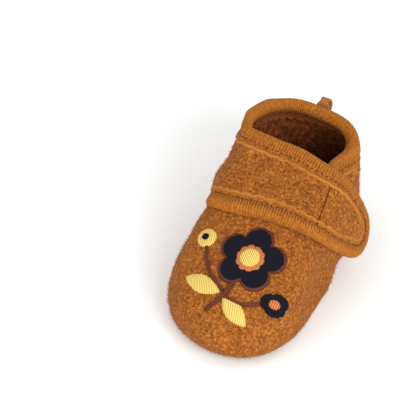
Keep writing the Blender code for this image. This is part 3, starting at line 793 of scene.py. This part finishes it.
def tiled(name, template, spots, lengths, heights, sizes):
    """One mesh of many copies of a small shape, each along its own length and height directions."""
    points = coordinates(template)
    faces = [np.array(face.vertices) for face in template.data.polygons]
    turns = np.stack([lengths, np.cross(heights, lengths), heights], axis=1)
    places = spots[:, None] + np.einsum("pk,nkc->npc", points, turns) * sizes[:, None, None]
    shifts = np.arange(len(spots)) * len(points)
    corners = np.concatenate([np.concatenate([face + shift for face in faces]) for shift in shifts])
    counts = np.tile([len(face) for face in faces], len(spots))
    mesh = bpy.data.meshes.new(name)
    mesh.vertices.add(len(spots) * len(points))
    mesh.vertices.foreach_set("co", places.astype(np.float32).ravel())
    mesh.loops.add(len(corners))
    mesh.loops.foreach_set("vertex_index", corners.astype(np.int32))
    mesh.polygons.add(len(counts))
    mesh.polygons.foreach_set("loop_start", (np.cumsum(counts) - counts).astype(np.int32))
    mesh.update(calc_edges=True)
    mesh.validate()
    bpy.data.objects.remove(template)
    return placed(name, mesh)


# Sewing thread: tight and dull, and dark enough to paint the shade of the holes it sinks into
thread = new_material("sewing thread", {"Base Color": linear("#4C260C"), "Roughness": 0.9,
                                        "Specular IOR Level": 0.1})
strap_skin = form_of(strap)
sewn = [STITCH_FROM + (STITCH_TO - STITCH_FROM) * (k + 0.5) / STITCH_COUNT for k in range(STITCH_COUNT)]
spots, heights = np.array([strap_hit(strap_skin, angle, y) for angle, y in sewn]).transpose(1, 0, 2)
lengths = unit(np.gradient(spots, axis=0))
heights = unit(heights - lengths * np.sum(heights * lengths, axis=1, keepdims=True))
tab_stitches = tiled("tab_stitches", bead(THREAD_LENGTH, THREAD_WIDTH, 10, 8), spots, lengths, heights,
                     np.ones(STITCH_COUNT))
finish(tab_stitches, thread, "strap_wool")

# Tape stitching
# The lockstitch row that holds the tape, sunk between its ribbed band and its wavy lip.
ROW_WIDTH, ROW_LENGTH = 0.42 * MM, 0.85 * MM
ROW_RISE = 0.7 * ROW_WIDTH

row_line = laid(+1, STITCH_LINE * slim, np.full(rows, ROW_RISE))
row_high = unit(row_line - laid(+1, STITCH_LINE * slim, np.zeros(rows)))
row_ahead = unit(np.gradient(row_line, axis=0))
holes = np.arange(0, rows, round(STITCH_PITCH / RIB_PITCH * RIB_ROWS))
tape_stitches = tiled("tape_stitches", bead(ROW_LENGTH, ROW_WIDTH, 8, 6), row_line[holes], row_ahead[holes],
                      row_high[holes], np.ones(len(holes)))
finish(tape_stitches, thread, "strap_rib")

# Flower sprig
# The motif on the vamp: pieces of navy wool felt with satin-stitched borders, and leaves, stem and
# middle in solid satin stitch of yellow, orange and rust, all sewn flat on the wool.
MOTIF_PLACE = Vector((-0.0001, -0.0402, 0.0361))
MOTIF_RIGHT = Vector((1.0, 0.0, 0.0))
MOTIF_UP = Vector((0.0, 0.78, 0.62)).normalized()
MOTIF_OUT = MOTIF_RIGHT.cross(MOTIF_UP)
MOTIF_LEAN, MOTIF_REACH = 1.5, 0.04
PATCH_POINTS = 96
PETAL_ROUND, LEAF_ROUND = 0.65, 0.8
# Floss lies closer than this on the shoe; its lines are drawn this coarse so that they show
SATIN_PITCH = 0.8 * MM
SATIN_WOBBLE = 3.0
# The wool's slope at a point is felt this far around it
FEEL = 2.0 * MM
# Outlines waver by about this many millimetres, as sewn by hand
WAVER, HAND_SEED = 0.11, 3
hand = np.random.default_rng(HAND_SEED)
# Share of the way to the outline, height in millimetres: a flat top, a raised border, a sunk rim
FELT = [(0.12, 0.75), (0.3, 0.75), (0.5, 0.75), (0.68, 0.75), (0.8, 0.8), (0.86, 1.1), (0.91, 1.2),
        (0.96, 1.0), (1.0, 0.4), (1.0, -0.4), (0.5, -0.6)]
SATIN = [(0.15, 1.35), (0.35, 1.3), (0.55, 1.2), (0.72, 1.05), (0.85, 0.85), (0.94, 0.6), (1.0, 0.2),
         (1.0, -0.4), (0.5, -0.6)]
BORDER, UNDER = (0.76, 0.84), -0.3


def on_vamp(flat, high):
    """Places on the vamp at distances from the motif's middle, some height above the wool."""
    spots = []
    for (right, up), height in zip(flat, high):
        above = MOTIF_PLACE + (MOTIF_RIGHT * right + MOTIF_UP * up) * MM + MOTIF_OUT * MOTIF_REACH
        spot, facing = upper_skin.ray_cast(above, -MOTIF_OUT)[:2]
        for aside in (MOTIF_RIGHT, -MOTIF_RIGHT, MOTIF_UP, -MOTIF_UP):
            facing = facing + upper_skin.ray_cast(above + aside * FEEL, -MOTIF_OUT)[1]
        spots.append(spot + (facing + MOTIF_OUT * MOTIF_LEAN).normalized() * (height * MM))
    return spots


def patch(floss, outline, middle, profile, grain=None, lift=0.0):
    """A sewn patch: rings from its middle to its outline. Grain is the run of its satin threads."""
    outline, middle = np.array(outline), np.array(middle)
    outline = outline + unit(outline - middle) * hand.normal(0, WAVER, (len(outline), 1))
    count, last = len(outline), 1 + len(profile) * len(outline)
    shares, levels = np.array(profile).T
    rings = [middle + (outline - middle) * share for share in shares]
    flat = np.concatenate([middle[None], *rings, middle[None]])
    high = np.concatenate([levels[:1], np.repeat(levels, count), levels[-1:]])
    high[:-1 - count] += lift
    faces = [(0, 1 + k, 1 + (k + 1) % count) for k in range(count)]
    for a in range(1, last - count, count):
        b = a + count
        faces += [(a + k, b + k, b + (k + 1) % count, a + (k + 1) % count) for k in range(count)]
    a = last - count
    faces += [(a + k, last, a + (k + 1) % count) for k in range(count)]
    mesh = bpy.data.meshes.new("patch")
    mesh.from_pydata(on_vamp(flat, high), [], faces)
    mesh.materials.append(floss)
    piece = placed("patch", mesh)
    if grain is None:
        border = soften(shares, *BORDER) * (levels > UNDER)
        mark(piece, "run", np.concatenate([[0], np.tile(lengths_along(outline), len(profile)), [0]]) * MM)
        mark(piece, "satin", np.concatenate([[0], np.repeat(border, count), [0]]))
    else:
        mark(piece, "run", flat @ np.array(grain) * MM)
        mark(piece, "satin", np.ones(len(flat)))
    return piece


def ring_points(radius, middle, petals=0, depth=0.0, phase=0.0):
    """The outline of a disc, or of a flower with round petals."""
    turn = np.linspace(0, 2 * np.pi, PATCH_POINTS, endpoint=False)
    reach = np.full(PATCH_POINTS, radius)
    if petals:
        reach = radius * (1 - depth + depth * np.abs(np.cos(petals * (turn - phase) / 2)) ** PETAL_ROUND)
    return np.stack([middle[0] + reach * np.cos(turn), middle[1] + reach * np.sin(turn)], axis=1)


def leaf_points(start, end, width):
    """The outline of a pointed leaf between two points."""
    start, end = np.array(start, float), np.array(end, float)
    share = np.linspace(0, 1, PATCH_POINTS // 2, endpoint=False)
    across = np.array([start[1] - end[1], end[0] - start[0]]) / np.linalg.norm(end - start)
    bulge = width / 2 * np.sin(np.pi * share) ** LEAF_ROUND
    upper_side = start + np.outer(share, end - start) + np.outer(bulge, across)
    lower_side = end + np.outer(share, start - end) - np.outer(bulge, across)
    return np.concatenate([upper_side, lower_side])


def stem_points(points, width):
    """The outline of a stem of even width along a soft line."""
    points = np.array(points, float)
    line = through(np.linspace(0, 1, len(points)), points, np.linspace(0, 1, PATCH_POINTS // 2))
    heading = unit(np.gradient(line, axis=0))
    across = np.stack([-heading[:, 1], heading[:, 0]], axis=1) * width / 2
    return np.concatenate([line + across, (line - across)[::-1]])


def embroidered(name, colour, dark, roughness):
    """Felt or floss in one colour: matt and fibrous, or threads side by side with a soft shine and painted
    shade between them.
    """
    material = new_material(name, {"Roughness": roughness, "Specular IOR Level": 0.25})
    tree, place = canvas(material)
    fibres = node(tree, "TexNoise", {"Vector": place, "Scale": 1 / (0.7 * MM), "Detail": 3.0})
    fibres = fibres.outputs["Fac"]
    run = node(tree, "Attribute", attribute_name="run").outputs["Fac"]
    satin = node(tree, "Attribute", attribute_name="satin").outputs["Fac"]
    wobble = node(tree, "Math", {0: fibres, 1: SATIN_WOBBLE}, operation="MULTIPLY").outputs[0]
    turns = node(tree, "Math", {0: run, 1: 2 * math.pi / SATIN_PITCH, 2: wobble},
                 operation="MULTIPLY_ADD").outputs[0]
    waves = node(tree, "Math", {0: turns}, operation="SINE").outputs[0]
    threads = node(tree, "MapRange", {"Value": waves, "From Min": -1.0, "From Max": 0.6}).outputs[0]
    strands = node(tree, "Mix", {0: satin, 2: fibres, 3: threads}, data_type="FLOAT").outputs[0]
    # The darker colour is the felt's own fibre mottling, and painted shade between satin threads
    tone = node(tree, "Mix", {0: strands, 6: linear(dark), 7: linear(colour)})
    relief = node(tree, "Bump", {"Height": strands, "Strength": 0.7, "Distance": 0.2 * MM})
    show(tree, tone, relief)
    return material


navy = embroidered("navy felt", "#0D0B1C", "#06050E", 0.95)
yellow = embroidered("yellow floss", "#EACC70", "#B48C34", 0.55)
orange = embroidered("orange floss", "#D27A42", "#8F4520", 0.55)
rust = embroidered("rust floss", "#6A3020", "#3E170E", 0.55)
# Places and sizes on the vamp are in millimetres from the motif's middle
bloom, bud, berry = (3.0, 4.0), (19.0, -11.0), (-19.5, 7.0)
stem = stem_points([(1, -6), (-1, -14), (-6, -23)], 1.8)
side_stem = stem_points([(-2, -15), (7, -15.7), (14.6, -12.9)], 1.5)
berry_stem = stem_points([(-2, -13), (-12, -6), (-18, 4)], 1.5)
left_leaf = leaf_points((-3, -14), (-21, -12), 8)
right_leaf = leaf_points((-1, -15.5), (12, -24), 7.5)
patches = [
    patch(rust, stem, (-1, -14), SATIN, (0.3, 1.0)),
    patch(rust, side_stem, (7, -15.6), SATIN, (1.0, 0.3)),
    patch(rust, berry_stem, (-11.5, -6), SATIN, (0.5, 1.0)),
    patch(yellow, left_leaf, (-12, -13), SATIN, (1.0, 0.35), 0.1),
    patch(yellow, right_leaf, (5.5, -20), SATIN, (1.0, 0.5), 0.1),
    patch(navy, ring_points(5.2, bud, 3, 0.25, 0.9), bud, FELT),
    patch(orange, ring_points(2.0, bud), bud, SATIN, (1.0, 0.0), 0.8),
    patch(yellow, ring_points(4.4, berry), berry, SATIN, (0.8, 0.6)),
    patch(navy, ring_points(1.5, berry), berry, SATIN, (0.0, 1.0), 1.0),
    patch(rust, ring_points(14.9, bloom, 5, 0.32, 0.3), bloom, FELT, None, -0.1),
    patch(navy, ring_points(14.0, bloom, 5, 0.34, 0.3), bloom, FELT, None, 0.2),
    patch(orange, ring_points(6.2, bloom, 10, 0.12), bloom, SATIN, None, 0.6),
    patch(yellow, ring_points(4.3, bloom), bloom, SATIN, (0.7, 0.7), 1.1),
]
only(patches[0])
for piece in patches:
    piece.select_set(True)
bpy.ops.object.join()
motif = bpy.context.object
motif.name = "flower_sprig"
work(motif, (bpy.ops.mesh.normals_make_consistent, {"inside": False}))
motif.data.shade_smooth()
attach(motif, "root")

# Wool fuzz
# Loose fibre ends that stand out of the boiled wool and give it its soft outline.
FIBRE_WIDTH, FIBRE_LENGTH = 0.12 * MM, 1.7 * MM
FIBRE_ROOT, FIBRE_TILT, FIBRE_SIZES = 0.2 * MM, 0.75, (0.6, 1.25)
FIBRE_BEND = 0.3 * FIBRE_LENGTH
FUZZ_SEED, UPPER_FIBRES, STRAP_FIBRES = 7, 17000, 7000
FUZZ_ABOVE, COVERED = 2 * MM, 1.0 * MM
covers = [form_of(tape), form_of(motif)]


def fuzz(name, piece, count, material, slot):
    """Short bent fibres, strewn evenly over the outside of a wool piece."""
    chance = np.random.default_rng(FUZZ_SEED)
    piece.data.calc_loop_triangles()
    corners = np.array([triangle.vertices for triangle in piece.data.loop_triangles])
    within = np.array([point.value for point in piece.data.attributes["inside"].data])
    places, normals = coordinates(piece), point_normals(piece)
    a, b, c = (places[corners[:, k]] for k in range(3))
    area = np.linalg.norm(np.cross(b - a, c - a), axis=1) * (within[corners].max(axis=1) < 0.5)
    area *= places[corners].min(axis=1)[:, 2] > FUZZ_ABOVE
    chosen = corners[chance.choice(len(corners), count, p=area / area.sum())]
    blend = chance.dirichlet((1, 1, 1), count)
    spots = np.einsum("nk,nkc->nc", blend, places[chosen])
    upright = unit(np.einsum("nk,nkc->nc", blend, normals[chosen]))
    tilt = unit(upright + chance.normal(0, FIBRE_TILT, (count, 3)))
    aside = unit(np.cross(tilt, chance.normal(size=(count, 3))))
    scale = chance.uniform(*FIBRE_SIZES, count)
    bare = np.array([all(form.find_nearest(Vector(spot), COVERED)[0] is None for form in covers)
                     for spot in spots])
    bpy.ops.mesh.primitive_cone_add(vertices=3, radius1=FIBRE_WIDTH / 2, radius2=FIBRE_WIDTH / 3,
                                    depth=FIBRE_LENGTH / 2, location=(0, 0, FIBRE_LENGTH / 4))
    fibre = bpy.context.object
    bpy.ops.object.transform_apply(location=True)
    bpy.ops.object.mode_set(mode="EDIT")
    bpy.ops.mesh.select_mode(type="FACE")
    bpy.ops.mesh.select_all(action="DESELECT")
    bpy.ops.object.mode_set(mode="OBJECT")
    for face in fibre.data.polygons:
        face.select = face.normal.z > 0.9
    bpy.ops.object.mode_set(mode="EDIT")
    bpy.ops.mesh.extrude_region_move(TRANSFORM_OT_translate={"value": (FIBRE_BEND, 0, FIBRE_BEND)})
    bpy.ops.mesh.merge(type="CENTER")
    bpy.ops.object.mode_set(mode="OBJECT")
    strewn = tiled(name, fibre, (spots - tilt * FIBRE_ROOT)[bare], aside[bare], tilt[bare], scale[bare])
    finish(strewn, material, slot)


# Fibre ends: the wool's own colour, even and dull
fibre_ends = new_material("wool fibre", {"Base Color": linear("#A8662E"), "Roughness": 0.9})
fuzz("upper_fuzz", upper, UPPER_FIBRES, fibre_ends, "upper_wool")
fuzz("strap_fuzz", strap, STRAP_FIBRES, fibre_ends, "strap_wool")

# Studio
# A pale seamless floor under large soft lights, and the camera of the photograph.
CAMERA_PLACE = Vector((0.23914, -0.55418, 0.53958))
CAMERA_TARGET = Vector((-0.03774, -0.002975, 0.030))
CAMERA_ROLL = math.radians(0.302)
FRAME_PIXELS, FOCAL_PIXELS = 400, 1801.0
FLOOR_SIZE = 6.0
SKY_STRENGTH = 0.85

bpy.ops.mesh.primitive_plane_add(size=FLOOR_SIZE)
floor = bpy.context.object
floor.name = "floor"
# White paper: even and matt, nearly as bright as the sky over it
paper = new_material("white paper", {"Base Color": linear("#FCFCFB"), "Roughness": 0.9})
floor.data.materials.append(paper)

world = bpy.data.worlds.new("studio")
bpy.context.scene.world = world
world.use_nodes = True
sky = world.node_tree.nodes["Background"]
sky.inputs["Color"].default_value = linear("#FFFFFF")
sky.inputs["Strength"].default_value = SKY_STRENGTH
bpy.context.scene.view_settings.view_transform = "Standard"

for name, spot, size, power, colour in (("key", (1.0, -0.8, 0.72), 0.9, 17.0, "#F6FFFF"),
                                        ("fill", (-0.8, -0.8, 0.7), 1.0, 3.5, "#FFFFFF")):
    lamp = bpy.data.lights.new(name, "AREA")
    lamp.color = linear(colour)[:3]
    lamp.size = size
    lamp.energy = power
    light = placed(name, lamp)
    light.location = spot
    light.rotation_euler = (-Vector(spot)).to_track_quat("-Z", "Y").to_euler()

lens = bpy.data.cameras.new("camera")
lens.sensor_width = 36.0
lens.lens = lens.sensor_width * FOCAL_PIXELS / FRAME_PIXELS
camera = placed("camera", lens)
gaze = (CAMERA_TARGET - CAMERA_PLACE).normalized()
aside = gaze.cross(Vector((0, 0, 1))).normalized()
above = aside.cross(gaze)
right = aside * math.cos(CAMERA_ROLL) + above * math.sin(CAMERA_ROLL)
up = above * math.cos(CAMERA_ROLL) - aside * math.sin(CAMERA_ROLL)
turn = Matrix((right, up, -gaze)).transposed()
camera.matrix_world = Matrix.Translation(CAMERA_PLACE) @ turn.to_4x4()
bpy.context.scene.camera = camera
